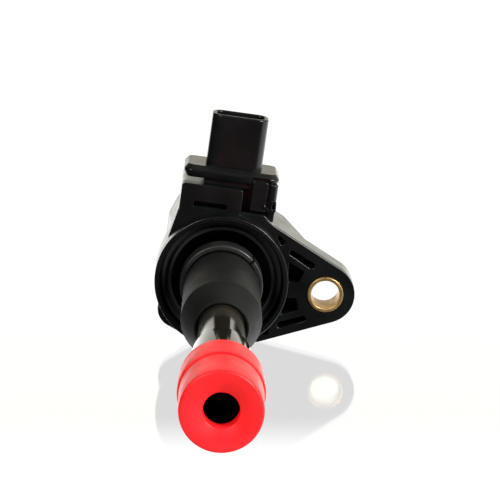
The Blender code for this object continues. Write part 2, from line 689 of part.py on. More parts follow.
def lay_down(axis):
    """Tilts the coil, stands it on the plane z = 0 and centres it over the origin."""
    axis.rotation_euler = (TILT, 0.0, 0.0)
    bpy.context.view_layer.update()
    depsgraph = bpy.context.evaluated_depsgraph_get()
    low, high = Vector((1e9,) * 3), Vector((-1e9,) * 3)
    for ob in bpy.context.scene.objects:
        if ob.type != "MESH" or ob.hide_render:
            continue
        evaluated = ob.evaluated_get(depsgraph)
        for vertex in evaluated.data.vertices:
            point = evaluated.matrix_world @ vertex.co
            low = Vector(map(min, low, point))
            high = Vector(map(max, high, point))
    axis.location = (-(low.x + high.x) / 2.0, -(low.y + high.y) / 2.0, -low.z)


def build():
    clear_scene()
    axis = empty("coil_axis")
    head = empty("head_roll", axis)
    head.rotation_euler = (0.0, HEAD_ROLL, 0.0)
    spark_plug_boot(axis)
    hv_tube(axis)
    contact_cup(axis)
    contact_spring(axis)
    suppression_resistor(axis)
    hv_terminal(axis)
    coil_sleeve(axis)
    retaining_ring(axis)
    plug_well_seal(axis)
    core_stack(axis)
    windings(axis)
    head_housing(head)
    connector_housing(head)
    terminal_pins(head)
    mounting_bush(head)
    electronics(head)
    lay_down(axis)


build()
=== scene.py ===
"""Coil-on-plug ignition coil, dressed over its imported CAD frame.

Pieces are drawn in millimetres in the coil's own frame, in which Y runs along the coil's axis
from the boot to the head, X is to the right and Z is up, or in the head's frame, which
is the same frame turned about the axis. Both are placed from the frame's own boxes.
"""

import json
import math

import bmesh
import bpy
from mathutils import Matrix, Vector


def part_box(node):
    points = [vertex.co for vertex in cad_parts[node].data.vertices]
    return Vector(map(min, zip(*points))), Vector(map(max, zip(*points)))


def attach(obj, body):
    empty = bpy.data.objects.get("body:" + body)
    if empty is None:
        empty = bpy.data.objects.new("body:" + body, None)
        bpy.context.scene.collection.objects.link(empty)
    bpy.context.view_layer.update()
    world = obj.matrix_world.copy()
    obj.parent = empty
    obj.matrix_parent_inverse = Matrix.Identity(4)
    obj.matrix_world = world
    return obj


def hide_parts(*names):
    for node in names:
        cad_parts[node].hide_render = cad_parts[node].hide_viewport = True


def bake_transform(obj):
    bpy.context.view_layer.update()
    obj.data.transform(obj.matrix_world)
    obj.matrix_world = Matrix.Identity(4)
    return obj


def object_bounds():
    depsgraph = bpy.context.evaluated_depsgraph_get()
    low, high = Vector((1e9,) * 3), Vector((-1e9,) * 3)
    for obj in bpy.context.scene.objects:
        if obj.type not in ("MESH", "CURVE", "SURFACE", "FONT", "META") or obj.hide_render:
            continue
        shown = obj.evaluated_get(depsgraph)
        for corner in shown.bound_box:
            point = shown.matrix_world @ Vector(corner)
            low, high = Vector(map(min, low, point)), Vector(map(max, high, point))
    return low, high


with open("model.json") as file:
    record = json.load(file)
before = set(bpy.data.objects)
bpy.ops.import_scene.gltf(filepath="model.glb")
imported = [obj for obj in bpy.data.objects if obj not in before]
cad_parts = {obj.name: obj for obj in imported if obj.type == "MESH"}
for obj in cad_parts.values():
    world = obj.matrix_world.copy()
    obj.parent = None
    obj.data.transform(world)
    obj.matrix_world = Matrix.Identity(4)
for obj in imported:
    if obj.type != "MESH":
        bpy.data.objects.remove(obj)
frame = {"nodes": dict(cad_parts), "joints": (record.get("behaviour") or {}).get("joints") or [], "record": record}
cad_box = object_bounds()

MM = 0.001
COIL = "coil"
CONTACT = "contact"

# Positions along the coil's axis, from the front of the boot's bore
BOOT_FACE = -1.5
TUBE_FRONT = 4.6
BOOT_STEP = 12.9
BOOT_REAR = 27.0
CUP_FRONT = 40.0
CUP_LENGTH = 5.5
CUP_TRAVEL = 5.0
TUBE_SHOULDER = 48.6
TUBE_STEP = 50.4
RESISTOR_FRONT = 62.3
SLEEVE_LIP = 77.4
SLEEVE_SHOULDER = 86.2
TUBE_REAR = 90.2
WINDING_MIDDLE = 117.0
SLEEVE_REAR = 120.8
NECK_FRONT = 121.1
RING_FRONT = 124.9
RING_REAR = 131.7
COLLAR_FACE = 130.0
SEAL_FRONT = 134.0
FLANGE_FACE = 137.0
CLIP_FRONT = 137.35
LEG_FRONT = 137.9
LEG_RECESS_FLOOR = 138.7
BOX_FRONT = 141.5
MOAT_FLOOR = 146.0
COLLAR_REAR = 147.4
CAVITY_FRONT = 147.7
BODY_FRONT = 148.0
EAR_REAR = 148.9
RESIN_REAR = 162.6
HEAD_REAR = 163.5

# Radii about the coil's axis
BOOT_FRONT_R = 10.4
BOOT_R = 10.95
BOOT_REAR_R = 10.7
BOOT_BORE_R = 4.5
TUBE_R = 7.75
TUBE_STEP_R = 6.25
TUBE_NECK_R = 6.55
TUBE_BORE_R = 5.5
TUBE_NARROW_R = 3.1
SLEEVE_LIP_R = 6.85
SLEEVE_R = 11.1
SLEEVE_REAR_R = 10.85
SLEEVE_INNER_R = 9.4
NECK_R = 10.3
RING_R = 11.96
MOAT_R = 17.85
COLLAR_R = 19.36
SEAM_ANGLE = 38.5

# The head and the connector, in the head's frame
HEAD_ROLL = math.radians(8.0)
GAP = 0.3
WALL = 1.7
BLOCK_LEFT = -15.0
BLOCK_RIGHT = 2.9
BLOCK_TOP = 26.2
BUSH_X = 30.84
BUSH_Z = -1.23
BUSH_R = 5.25
BUSH_BORE_R = 4.15
EAR_TIP_R = 8.6
POCKET_DEPTH = 8.0
PLATE_BOTTOM = 27.9
PLATE_TOP = 31.4
CONNECTOR_X = -0.7
CONNECTOR_ALONG = 146.0
CONNECTOR_WIDTH = 16.4
CONNECTOR_DEPTH = 9.6
CONNECTOR_CORNER = 3.2
CONNECTOR_TOP = 46.6
CONNECTOR_WALL = 1.3
SOCKET_FLOOR = 33.4
PIN_PITCH = 4.2
PIN_WIDTH = 2.2
PIN_THICKNESS = 0.8
PIN_TOP = 40.6
PIN_FOOT = 22.6
PIN_REACH = 3.2
LATCH_BOTTOM = 38.0
LATCH_LIP = 38.8
LATCH_TOP = 42.0
LATCH_REACH = 1.6
LATCH_HALF_WIDTH = 2.2

# Widths, the distance within which the points of a cut shape merge, and the angle in degrees up
# to which round pieces are shaded smooth
TUBE_FLANGE = 2.0
SLIT_WIDTH = 0.7
MERGE = 0.0005
ROUND_SMOOTH = 60.0

# The studio. The backdrop is bright where a direction's Y plus its wrapped X passes from EDGE to
# FULL, and its glow goes from LOW to HIGH over the HEIGHTS, which are a direction's Z.
BACKDROP = 1.06
DIM_STUDIO = 0.02
BACKDROP_EDGE = -0.05
BACKDROP_FULL = 0.60
BACKDROP_WRAP = 0.9
GLOW_LOW = 2.1
GLOW_HIGH = 0.72
GLOW_HEIGHTS = (-0.25, 0.40)
WARM_GLOW = (1.0, 0.95, 0.80, 1.0)
WHITE = (1.0, 1.0, 1.0, 1.0)

# The floor, in metres: its glow, how glossy it is, and where along Y from the boot's face the
# gloss begins and is full
FLOOR_HALF = 2.6
FLOOR_GLOW = 1.04
FLOOR_GLOSS = 0.32
FLOOR_GLOSS_COLOUR = (0.92, 0.96, 1.0, 1.0)
FLOOR_GLOSS_ROUGHNESS = 0.05
FLOOR_GLOSS_BEGINS = -0.004
FLOOR_GLOSS_FULL = 0.045

# Lights, as name, place, target, size and power, and the camera in the coil's own frame
LIGHTS = (
    ("key", (0.44, -0.34, 0.36), (-0.01, -0.04, 0.02), 0.26, 7.0),
    ("fill", (-0.40, -0.50, 0.50), (0.0, -0.04, 0.02), 0.30, 4.0),
)
CAMERA_LENS = 180.0
CAMERA_SENSOR = 36.0
CAMERA_PLACE = (0.2, -571.8, 169.8)
CAMERA_AHEAD = (0.0112, 0.9748, -0.2226)


# ---------------------------------------------------------------- where things are


def coil_frame():
    """The matrix from the coil's own frame to the row's frame, both in metres. The winding is a
    plain tube, so the middle of its box lies on the axis, and the joint gives the direction."""
    low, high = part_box("primary_winding")
    along = Vector(frame["joints"][0]["axis"]).normalized()
    across = Vector((1.0, 0.0, 0.0))
    up = across.cross(along)
    origin = (low + high) / 2.0 - along * WINDING_MIDDLE * MM
    turn = Matrix((across, along, up)).transposed().to_4x4()
    return Matrix.Translation(origin) @ turn


AXIS = coil_frame()
HEAD = AXIS @ Matrix.Rotation(HEAD_ROLL, 4, "Y")
TILT = math.asin(frame["joints"][0]["axis"][2])


# ---------------------------------------------------------------- materials


def principled(name, colour, roughness, metallic=0.0, ior=1.5, **more):
    """A Principled material with plain values. More are given by their socket's name."""
    mat = bpy.data.materials.new(name)
    mat.use_nodes = True
    shader = mat.node_tree.nodes["Principled BSDF"]
    shader.inputs["Base Color"].default_value = (*colour, 1.0)
    shader.inputs["Roughness"].default_value = roughness
    shader.inputs["Metallic"].default_value = metallic
    shader.inputs["IOR"].default_value = ior
    for key, value in more.items():
        shader.inputs[key.replace("_", " ")].default_value = value
    return mat


def noise(mat, scale, detail, stretch=(1.0, 1.0, 1.0)):
    """A noise over the object's own coordinates, in metres times scale."""
    tree = mat.node_tree
    where = tree.nodes.new("ShaderNodeTexCoord")
    mapping = tree.nodes.new("ShaderNodeMapping")
    mapping.inputs["Scale"].default_value = stretch
    texture = tree.nodes.new("ShaderNodeTexNoise")
    texture.inputs["Scale"].default_value = scale
    texture.inputs["Detail"].default_value = detail
    tree.links.new(where.outputs["Object"], mapping.inputs["Vector"])
    tree.links.new(mapping.outputs["Vector"], texture.inputs["Vector"])
    return texture.outputs["Fac"]


def ramp(mat, value, low, high, start=0.35, end=0.65):
    """Two colours or greys spread over a value."""
    node = mat.node_tree.nodes.new("ShaderNodeValToRGB")
    for stop, position, shade in zip(node.color_ramp.elements, (start, end), (low, high)):
        stop.position = position
        stop.color = (*shade, 1.0) if isinstance(shade, tuple) else (shade, shade, shade, 1.0)
    mat.node_tree.links.new(value, node.inputs["Fac"])
    return node.outputs["Color"]


def bump(mat, heights, distance):
    """Adds bumps one after another. Each is a value and its strength."""
    tree = mat.node_tree
    before = None
    for value, strength in heights:
        node = tree.nodes.new("ShaderNodeBump")
        node.inputs["Strength"].default_value = strength
        node.inputs["Distance"].default_value = distance
        tree.links.new(value, node.inputs["Height"])
        if before:
            tree.links.new(before, node.inputs["Normal"])
        before = node.outputs["Normal"]
    tree.links.new(before, tree.nodes["Principled BSDF"].inputs["Normal"])


def feed(mat, socket, value):
    """Links a value into a socket of the material's shader."""
    mat.node_tree.links.new(value, mat.node_tree.nodes["Principled BSDF"].inputs[socket])


def moulded(name, low, high, smooth, rough, grain, ior=1.5, specular=0.5):
    """Moulded plastic: a slight mottle of colour and gloss over a fine grain."""
    mat = principled(name, high, rough, ior=ior, Specular_IOR_Level=specular)
    feed(mat, "Base Color", ramp(mat, noise(mat, 90.0, 4.0), low, high))
    feed(mat, "Roughness", ramp(mat, noise(mat, 160.0, 5.0), smooth, rough))
    bump(mat, [(noise(mat, 2600.0, 2.0), grain), (noise(mat, 240.0, 2.0), grain * 0.5)], 0.0001)
    return mat


def metal(name, low, high, smooth, rough, stretch=(1.0, 1.0, 1.0), grain=0.1, metallic=1.0):
    """Metal with tool marks along one direction and a slightly uneven colour."""
    mat = principled(name, high, rough, metallic=metallic)
    feed(mat, "Base Color", ramp(mat, noise(mat, 220.0, 4.0), low, high))
    feed(mat, "Roughness", ramp(mat, noise(mat, 500.0, 3.0, stretch), smooth, rough))
    bump(mat, [(noise(mat, 900.0, 2.0, stretch), grain)], 0.00006)
    return mat


def silicone():
    """Red silicone rubber, a little translucent, with a fine matt bloom."""
    mat = principled("red_silicone", (0.86, 0.012, 0.016), 0.4, ior=1.42, Specular_IOR_Level=0.3)
    shader = mat.node_tree.nodes["Principled BSDF"]
    shader.inputs["Subsurface Weight"].default_value = 0.12
    shader.inputs["Subsurface Radius"].default_value = (1.0, 0.25, 0.2)
    shader.inputs["Subsurface Scale"].default_value = 0.0012
    mottle = noise(mat, 70.0, 4.0)
    feed(mat, "Base Color", ramp(mat, mottle, (0.80, 0.010, 0.012), (0.90, 0.014, 0.019)))
    feed(mat, "Roughness", ramp(mat, noise(mat, 240.0, 5.0), 0.34, 0.46))
    bump(mat, [(noise(mat, 1500.0, 3.0), 0.12), (noise(mat, 130.0, 2.0), 0.10)], 0.00012)
    return mat


def winding_wire():
    """Fine enamelled wire, wound in even turns along the coil's axis, with painted shade in the grooves between
    the turns.
    """
    mat = principled("copper_wire", (0.62, 0.25, 0.09), 0.3, metallic=1.0)
    tree = mat.node_tree
    where = tree.nodes.new("ShaderNodeTexCoord")
    wave = tree.nodes.new("ShaderNodeTexWave")
    wave.bands_direction = "Y"
    wave.inputs["Scale"].default_value = 700.0
    wave.inputs["Distortion"].default_value = 0.3
    tree.links.new(where.outputs["Object"], wave.inputs["Vector"])
    turns = wave.outputs["Fac"]
    # The bands also darken the colour in the grooves between the turns: this is painted shade, not a colour of the
    # wire.
    feed(mat, "Base Color", ramp(mat, turns, (0.30, 0.10, 0.03), (0.72, 0.31, 0.12), 0.1, 0.7))
    bump(mat, [(turns, 0.6)], 0.0001)
    return mat


# Plastics: dark and light colour, low and high roughness, grain, and then IOR and specular level
PLASTICS = {
    "gloss_black_plastic": ((0.009, 0.008, 0.005), (0.016, 0.013, 0.008), 0.05, 0.09, 0.03, 1.55),
    "satin_black_plastic": ((0.0030, 0.0032, 0.0032), (0.0052, 0.0056, 0.0058), 0.20, 0.27, 0.10,
                            1.5, 0.32),
    "matt_black_plastic": ((0.0055, 0.0060, 0.0055), (0.009, 0.0096, 0.009), 0.44, 0.54, 0.20,
                           1.45, 0.10),
    "black_rubber": ((0.006, 0.006, 0.006), (0.010, 0.010, 0.010), 0.62, 0.75, 0.25, 1.4),
    "bobbin_plastic": ((0.56, 0.50, 0.36), (0.68, 0.62, 0.47), 0.42, 0.55, 0.2),
    "ceramic": ((0.66, 0.63, 0.55), (0.76, 0.73, 0.66), 0.40, 0.55, 0.3),
    "epoxy": ((0.010, 0.009, 0.008), (0.020, 0.018, 0.015), 0.12, 0.26, 0.12, 1.55),
}

# Metals: dark and light colour, low and high roughness, and then stretch, grain and metallic
METALS = {
    "grey_steel": ((0.026, 0.026, 0.025), (0.044, 0.044, 0.041), 0.32, 0.42,
                   (1.0, 0.1, 1.0), 0.04, 0.6),
    "brass": ((0.44, 0.28, 0.11), (0.60, 0.40, 0.17), 0.38, 0.50, (1.0, 0.15, 1.0), 0.05, 0.9),
    "tinned_copper": ((0.66, 0.64, 0.60), (0.80, 0.78, 0.74), 0.22, 0.34),
    "spring_steel": ((0.42, 0.42, 0.43), (0.60, 0.60, 0.60), 0.20, 0.32),
    "core_steel": ((0.24, 0.24, 0.25), (0.38, 0.38, 0.39), 0.32, 0.50, (1.0, 0.05, 1.0)),
    "magnet": ((0.09, 0.09, 0.10), (0.15, 0.15, 0.16), 0.35, 0.50),
    "aluminium": ((0.68, 0.68, 0.69), (0.82, 0.82, 0.83), 0.28, 0.42, (0.05, 1.0, 1.0)),
}

MATERIALS = {"red_silicone": silicone(), "copper_wire": winding_wire()}
MATERIALS.update((name, moulded(name, *values)) for name, values in PLASTICS.items())
MATERIALS.update((name, metal(name, *values)) for name, values in METALS.items())


# ---------------------------------------------------------------- shapes


def new_object(name, bm):
    """Turns a bmesh into an object, still in millimetres and in its own frame."""
    bmesh.ops.remove_doubles(bm, verts=bm.verts, dist=0.001)
    bmesh.ops.recalc_face_normals(bm, faces=bm.faces)
    mesh = bpy.data.meshes.new(name)
    bm.to_mesh(mesh)
    bm.free()
    ob = bpy.data.objects.new(name, mesh)
    bpy.context.scene.collection.objects.link(ob)
    return ob


def combine(ob, operation, *shapes):
    """Joins or cuts shapes one after another and leaves the result in the object's own mesh."""
    for shape in shapes:
        tool = new_object("tool", shape)
        mod = ob.modifiers.new("combine", "BOOLEAN")
        mod.operation = operation
        mod.object = tool
        mod.solver = "EXACT"
        bpy.context.view_layer.update()
        evaluated = ob.evaluated_get(bpy.context.evaluated_depsgraph_get())
        result = bpy.data.meshes.new_from_object(evaluated)
        ob.modifiers.clear()
        bm = bmesh.new()
        bm.from_mesh(result)
        bmesh.ops.remove_doubles(bm, verts=bm.verts, dist=MERGE)
        bmesh.ops.dissolve_degenerate(bm, edges=bm.edges, dist=MERGE)
        open_edges = [edge for edge in bm.edges if edge.is_boundary]
        if open_edges:
            for patch in bmesh.ops.holes_fill(bm, edges=open_edges, sides=4)["faces"]:
                if not patch.loops[0].edge.is_contiguous:
                    patch.normal_flip()
        bm.to_mesh(result)
        bm.free()
        ob.data = result
        bpy.data.objects.remove(tool, do_unlink=True)
    return ob


def put(ob, place, smooth_deg=38.0):
    """Takes a finished shape from its own frame in millimetres to the row's frame in metres."""
    ob.data.transform(place @ Matrix.Scale(MM, 4))
    ob.data.shade_smooth()
    ob.data.set_sharp_from_angle(angle=math.radians(smooth_deg))
    return ob


def dress(ob, place, slot_name, stands_for, body=COIL, weighted=True, smooth_deg=38.0):
    """Places a finished piece, gives it its material and body, and hides the CAD node it stands for."""
    put(ob, place, smooth_deg)
    ob.data.materials.clear()
    ob.data.materials.append(MATERIALS[slot_name])
    if weighted:
        mod = ob.modifiers.new("flat_faces", "WEIGHTED_NORMAL")
        mod.keep_sharp = True
        mod.weight = 80
    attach(ob, body)
    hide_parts(stands_for)


def rounded(corners, steps=5):
    """A closed loop of (along, radius, fillet) corners, each rounded by its fillet."""
    loop = []
    count = len(corners)
    for i, (a, r, fillet) in enumerate(corners):
        here = Vector((a, r))
        before = Vector(corners[i - 1][:2]) - here
        after = Vector(corners[(i + 1) % count][:2]) - here
        if fillet <= 0.0 or before.length < 1e-6 or after.length < 1e-6:
            loop.append((a, r))
            continue
        angle = before.angle(after)
        reach = min(fillet / math.tan(angle / 2.0), before.length * 0.48, after.length * 0.48)
        radius = reach * math.tan(angle / 2.0)
        halfway = (before.normalized() + after.normalized()).normalized()
        centre = here + halfway * (radius / math.sin(angle / 2.0))
        first = here + before.normalized() * reach - centre
        last = here + after.normalized() * reach - centre
        turn = first.angle_signed(last)
        for k in range(steps + 1):
            swing = -turn * k / steps
            c, s = math.cos(swing), math.sin(swing)
            loop.append((centre.x + first.x * c - first.y * s,
                         centre.y + first.x * s + first.y * c))
    return loop


def lathe(profile, segments=128, centre=(0.0, 0.0), start=0.0, sweep=360.0):
    """A body turned about the Y direction from a closed loop of (along, radius) points.
    With a sweep below 360 degrees it is a split ring with flat ends."""
    bm = bmesh.new()
    closed = sweep >= 360.0
    count = segments if closed else segments + 1
    rings = []
    for along, radius in profile:
        if radius <= 1e-6:
            rings.append([bm.verts.new((centre[0], along, centre[1]))])
            continue
        ring = []
        for i in range(count):
            a = math.radians(start + sweep * i / segments)
            x = centre[0] + radius * math.cos(a)
            z = centre[1] + radius * math.sin(a)
            ring.append(bm.verts.new((x, along, z)))
        rings.append(ring)
    for first, second in zip(rings, rings[1:] + rings[:1]):
        for i in range(segments):
            j = (i + 1) % count
            corners = [first[i % len(first)], first[j % len(first)],
                       second[j % len(second)], second[i % len(second)]]
            loop = list(dict.fromkeys(corners))
            if len(loop) > 2:
                bm.faces.new(loop)
    if not closed:
        bm.faces.new([ring[0] for ring in rings])
        bm.faces.new([ring[-1] for ring in rings])
    return bm


def around(circles, steps=6):
    """The convex outline of a belt laid round circles (x, z, radius)."""
    count = len(circles)
    area = sum(circles[i - 1][0] * circles[i][1] - circles[i][0] * circles[i - 1][1]
               for i in range(count))
    turn = 1.0 if area > 0.0 else -1.0
    normals = []
    for i in range(count):
        x0, z0, r0 = circles[i]
        x1, z1, r1 = circles[(i + 1) % count]
        heading = math.atan2(z1 - z0, x1 - x0)
        lean = math.acos((r0 - r1) / math.hypot(x1 - x0, z1 - z0))
        normals.append(heading - turn * lean)
    outline = []
    for i, (x, z, r) in enumerate(circles):
        first = normals[i - 1]
        swing = (turn * (normals[i] - first)) % (2.0 * math.pi)
        for k in range(steps + 1):
            a = first + turn * swing * k / steps
            outline.append((x + r * math.cos(a), z + r * math.sin(a)))
    return outline


def inset(circles, distance):
    """The same belt, drawn in by a distance."""
    return [(x, z, r - distance) for x, z, r in circles]


def box_circles(x0, x1, v0, v1, r):
    """The four corner circles of a rounded rectangle."""
    return [(x0 + r, v0 + r, r), (x1 - r, v0 + r, r), (x1 - r, v1 - r, r), (x0 + r, v1 - r, r)]


def stack(levels, upright=False):
    """A body through outlines of as many points: a list of (outline, level), where an outline
    is (x, z) and the levels run along Y, or (x, along) and the levels run along Z."""
    bm = bmesh.new()
    rings = []
    for outline, level in levels:
        if upright:
            rings.append([bm.verts.new((u, v, level)) for u, v in outline])
        else:
            rings.append([bm.verts.new((u, level, v)) for u, v in outline])
    bm.faces.new(rings[0])
    bm.faces.new(rings[-1])
    for first, second in zip(rings, rings[1:]):
        for i in range(len(first)):
            j = (i + 1) % len(first)
            bm.faces.new((first[i], first[j], second[j], second[i]))
    return bm


def slab(circles, low, high, edge=0.35, upright=False, steps=6, top=None):
    """A rounded prism with filleted rims. With top it tapers to those circles."""
    bottom_levels, top_levels = [], []
    for k in range(4):
        a = math.pi / 2.0 * k / 3
        shrink, rise = edge * (1.0 - math.sin(a)), edge * (1.0 - math.cos(a))
        bottom_levels.append((around(inset(circles, shrink), steps), low + rise))
        top_levels.append((around(inset(top or circles, shrink), steps), high - rise))
    return stack(bottom_levels + top_levels[::-1], upright)


def hollow(circles, mouth, floor, edge=0.3, draft=0.15, upright=False, steps=6):
    """A cutter for a pocket with a softened mouth, slightly narrower at its floor."""
    out = 1.0 if floor > mouth else -1.0
    widest = around(inset(circles, -edge), steps)
    levels = [(widest, mouth - out), (widest, mouth - out * 0.02)]
    for k in (1, 2, 3, 4):
        a = math.pi / 2.0 * k / 4
        levels.append((around(inset(circles, -edge * (1.0 - math.sin(a))), steps),
                       mouth + out * edge * (1.0 - math.cos(a))))
    levels.append((around(inset(circles, draft), steps), floor))
    return stack(levels, upright)


def sideways(outline, x0, x1):
    """A body whose (along, z) outline runs from x0 to x1."""
    bm = stack([(outline, x0), (outline, x1)])
    swap = Matrix(((0.0, 1.0, 0.0), (1.0, 0.0, 0.0), (0.0, 0.0, 1.0)))
    bmesh.ops.transform(bm, matrix=swap.to_4x4(), verts=bm.verts)
    return bm


def softened(bm, width, angle_deg=40.0):
    """Rounds every edge sharper than the angle."""
    bmesh.ops.recalc_face_normals(bm, faces=bm.faces)
    edges = [e for e in bm.edges if len(e.link_faces) == 2
             and e.calc_face_angle(0.0) > math.radians(angle_deg)]
    bmesh.ops.bevel(bm, geom=edges, offset=width, segments=2, profile=0.5,
                    affect="EDGES", clamp_overlap=True)
    return bm


# ---------------------------------------------------------------- plug end


def make_boot():
    """Silicone boot: a dished face round the bore, a moulded step and a rolled rear rim."""
    socket = TUBE_R + 0.05
    crown_r, dish_steps = 8.9, 10
    dish = []
    for k in range(dish_steps):
        share = 1.0 - k / dish_steps
        fillet = 0.3 if k == 0 else 0.0
        dish.append((BOOT_FACE * (1.0 - share ** 1.6),
                     crown_r - (crown_r - BOOT_BORE_R) * share, fillet))
    corners = [
        (BOOT_FACE, BOOT_FRONT_R - 0.1, 1.3), (BOOT_FACE + 2.2, BOOT_FRONT_R, 1.0),
        (BOOT_STEP, BOOT_R - 0.45, 0.3), (BOOT_STEP + 0.1, BOOT_R - 0.9, 0.15),
        (BOOT_STEP + 0.7, BOOT_R - 0.9, 0.2), (BOOT_STEP + 0.85, BOOT_R - 0.1, 0.3),
        (BOOT_STEP + 2.5, BOOT_R, 0.5), (BOOT_REAR - 1.3, BOOT_REAR_R, 0.6),
        (BOOT_REAR, BOOT_REAR_R - 0.75, 0.75), (BOOT_REAR, TUBE_R + 1.2, 0.3),
        (BOOT_REAR - 0.7, socket, 0.2), (TUBE_FRONT - 0.1, socket, 0.2),
        (TUBE_FRONT - 0.1, BOOT_BORE_R, 0.3),
    ]
    ob = new_object("boot", lathe(rounded(corners + dish, 6), 160))
    dress(ob, AXIS, "red_silicone", "spark_plug_boot", weighted=False, smooth_deg=ROUND_SMOOTH)


def make_tube():
    """High-tension tube, which steps down behind the plug's insulator."""
    stop = CUP_FRONT + CUP_LENGTH + CUP_TRAVEL
    flange_front = TUBE_REAR - TUBE_FLANGE
    corners = [
        (TUBE_FRONT, TUBE_BORE_R, 0.2), (TUBE_FRONT, TUBE_R, 0.5),
        (TUBE_SHOULDER, TUBE_R, 0.4), (TUBE_STEP, TUBE_STEP_R, 1.0),
        (SLEEVE_LIP + 1.0, TUBE_NECK_R, 0.2), (flange_front, TUBE_NECK_R, 0.3),
        (flange_front, SLEEVE_INNER_R - GAP, 0.1), (TUBE_REAR, SLEEVE_INNER_R - GAP, 0.1),
        (TUBE_REAR, TUBE_NARROW_R, 0.1), (stop + 3.6, TUBE_NARROW_R, 0.5),
        (stop + 0.8, TUBE_BORE_R, 0.5),
    ]
    ob = new_object("high_tension_tube", lathe(rounded(corners, 4), 160))
    dress(ob, AXIS, "gloss_black_plastic", "hv_tube", weighted=False)


def make_cup():
    """Pressed cup with a rolled rim."""
    outer, inner, rim, floor = 4.1, 3.4, TUBE_BORE_R - GAP, CUP_LENGTH - 0.8
    a = CUP_FRONT
    corners = [
        (a, inner, 0.25), (a, outer, 0.3), (a + floor, outer, 0.3), (a + floor, rim, 0.15),
        (a + CUP_LENGTH, rim, 0.25), (a + CUP_LENGTH, 0.0, 0.0), (a + floor, 0.0, 0.0),
        (a + floor, inner, 0.4),
    ]
    ob = new_object("contact_cup_pressed", lathe(rounded(corners, 4), 64))
    dress(ob, AXIS, "spring_steel", "contact_cup", CONTACT, weighted=False)


def make_spring():
    """Compression spring with closed ends, which runs from behind the cup to the resistor."""
    wire_r, coil_r, sides = 0.35, 2.45, 10
    turns, per_turn, closed, lead = 9, 28, 0.75, 0.8
    start = CUP_FRONT + CUP_LENGTH + GAP + wire_r
    end = RESISTOR_FRONT - GAP - wire_r
    open_lead = (end - start) - 2.0 * closed * lead
    path = []
    for i in range(turns * per_turn + 1):
        turn = i / per_turn
        share = min(max((turn - closed) / (turns - 2.0 * closed), 0.0), 1.0)
        at_ends = min(turn, closed) + max(turn - (turns - closed), 0.0)
        along = start + at_ends * lead + share * open_lead
        a = 2.0 * math.pi * turn
        path.append(Vector((coil_r * math.cos(a), along, coil_r * math.sin(a))))
    bm = bmesh.new()
    side = Vector((1.0, 0.0, 0.0))
    rings = []
    for i, p in enumerate(path):
        ahead = (path[min(i + 1, len(path) - 1)] - path[max(i - 1, 0)]).normalized()
        side = (side - ahead * side.dot(ahead)).normalized()
        other = ahead.cross(side)
        ring = []
        for k in range(sides):
            a = 2.0 * math.pi * k / sides
            ring.append(bm.verts.new(p + (side * math.cos(a) + other * math.sin(a)) * wire_r))
        rings.append(ring)
    for first, second in zip(rings, rings[1:]):
        for k in range(sides):
            j = (k + 1) % sides
            bm.faces.new((first[k], first[j], second[j], second[k]))
    bm.faces.new(rings[0])
    bm.faces.new(rings[-1])
    ob = put(new_object("contact_spring_wound", bm), AXIS, ROUND_SMOOTH)
    ob.data.materials.append(MATERIALS["spring_steel"])
    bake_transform(ob)
    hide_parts("contact_spring")


# ---------------------------------------------------------------- coil body


def make_sleeve():
    """Matt sleeve over the windings, with the cone at its front."""
    seat = TUBE_REAR - TUBE_FLANGE - GAP
    corners = [
        (SLEEVE_LIP, SLEEVE_LIP_R, 0.1), (SLEEVE_LIP, SLEEVE_LIP_R + 0.55, 0.25),
        (SLEEVE_SHOULDER, SLEEVE_R, 1.3), (SLEEVE_REAR, SLEEVE_REAR_R, 0.3),
        (SLEEVE_REAR, SLEEVE_INNER_R, 0.1), (seat, SLEEVE_INNER_R, 0.1), (seat, SLEEVE_LIP_R, 0.1),
    ]
    ob = new_object("winding_sleeve", lathe(rounded(corners, 5), 160))
    dress(ob, AXIS, "matt_black_plastic", "coil_sleeve", weighted=False)


def make_ring():
    """Split ring round the head's neck."""
    inner = NECK_R + GAP
    corners = [(RING_FRONT, inner, 0.1), (RING_FRONT, RING_R, 0.45), (RING_REAR, RING_R, 0.45),
               (RING_REAR, inner, 0.1)]
    slit = math.degrees(SLIT_WIDTH / RING_R)
    body = lathe(rounded(corners, 4), 160, start=SEAM_ANGLE + slit / 2.0, sweep=360.0 - slit)
    ob = new_object("split_ring", body)
    dress(ob, AXIS, "grey_steel", "retaining_ring", weighted=False)


def make_seal():
    """Rubber seal at the bottom of the collar's channel, with two lips."""
    inner, outer = 14.5, MOAT_R - GAP
    front, rear = SEAL_FRONT, MOAT_FLOOR - GAP
    middle = (inner + outer) / 2.0
    corners = [(front, inner, 0.3), (front, inner + 1.0, 0.4), (front + 2.0, middle, 0.6),
               (front, outer - 1.0, 0.4), (front, outer, 0.3), (rear, outer, 0.2),
               (rear, inner, 0.2)]
    ob = new_object("well_seal", lathe(rounded(corners, 4), 128))
    dress(ob, AXIS, "black_rubber", "plug_well_seal", weighted=False)


# ---------------------------------------------------------------- head


def flange_circles():
    """Belt of the flange: the ear's tip, the foot on the bench, two lobes, the collar."""
    foot_r, foot_x = 3.5, 10.0
    drop = COLLAR_R + (FLANGE_FACE - COLLAR_FACE) * math.tan(TILT) - foot_r
    c, s = math.cos(HEAD_ROLL), math.sin(HEAD_ROLL)
    foot = (foot_x * c + drop * s, foot_x * s - drop * c, foot_r)
    return [(BUSH_X, BUSH_Z, EAR_TIP_R), foot, (-5.5, -15.2, 4.4), (-11.5, -11.4, 5.7),
            (-13.7, 8.0, 3.5), (-12.3, 17.0, 3.0), (8.0, 17.6, 1.5)]


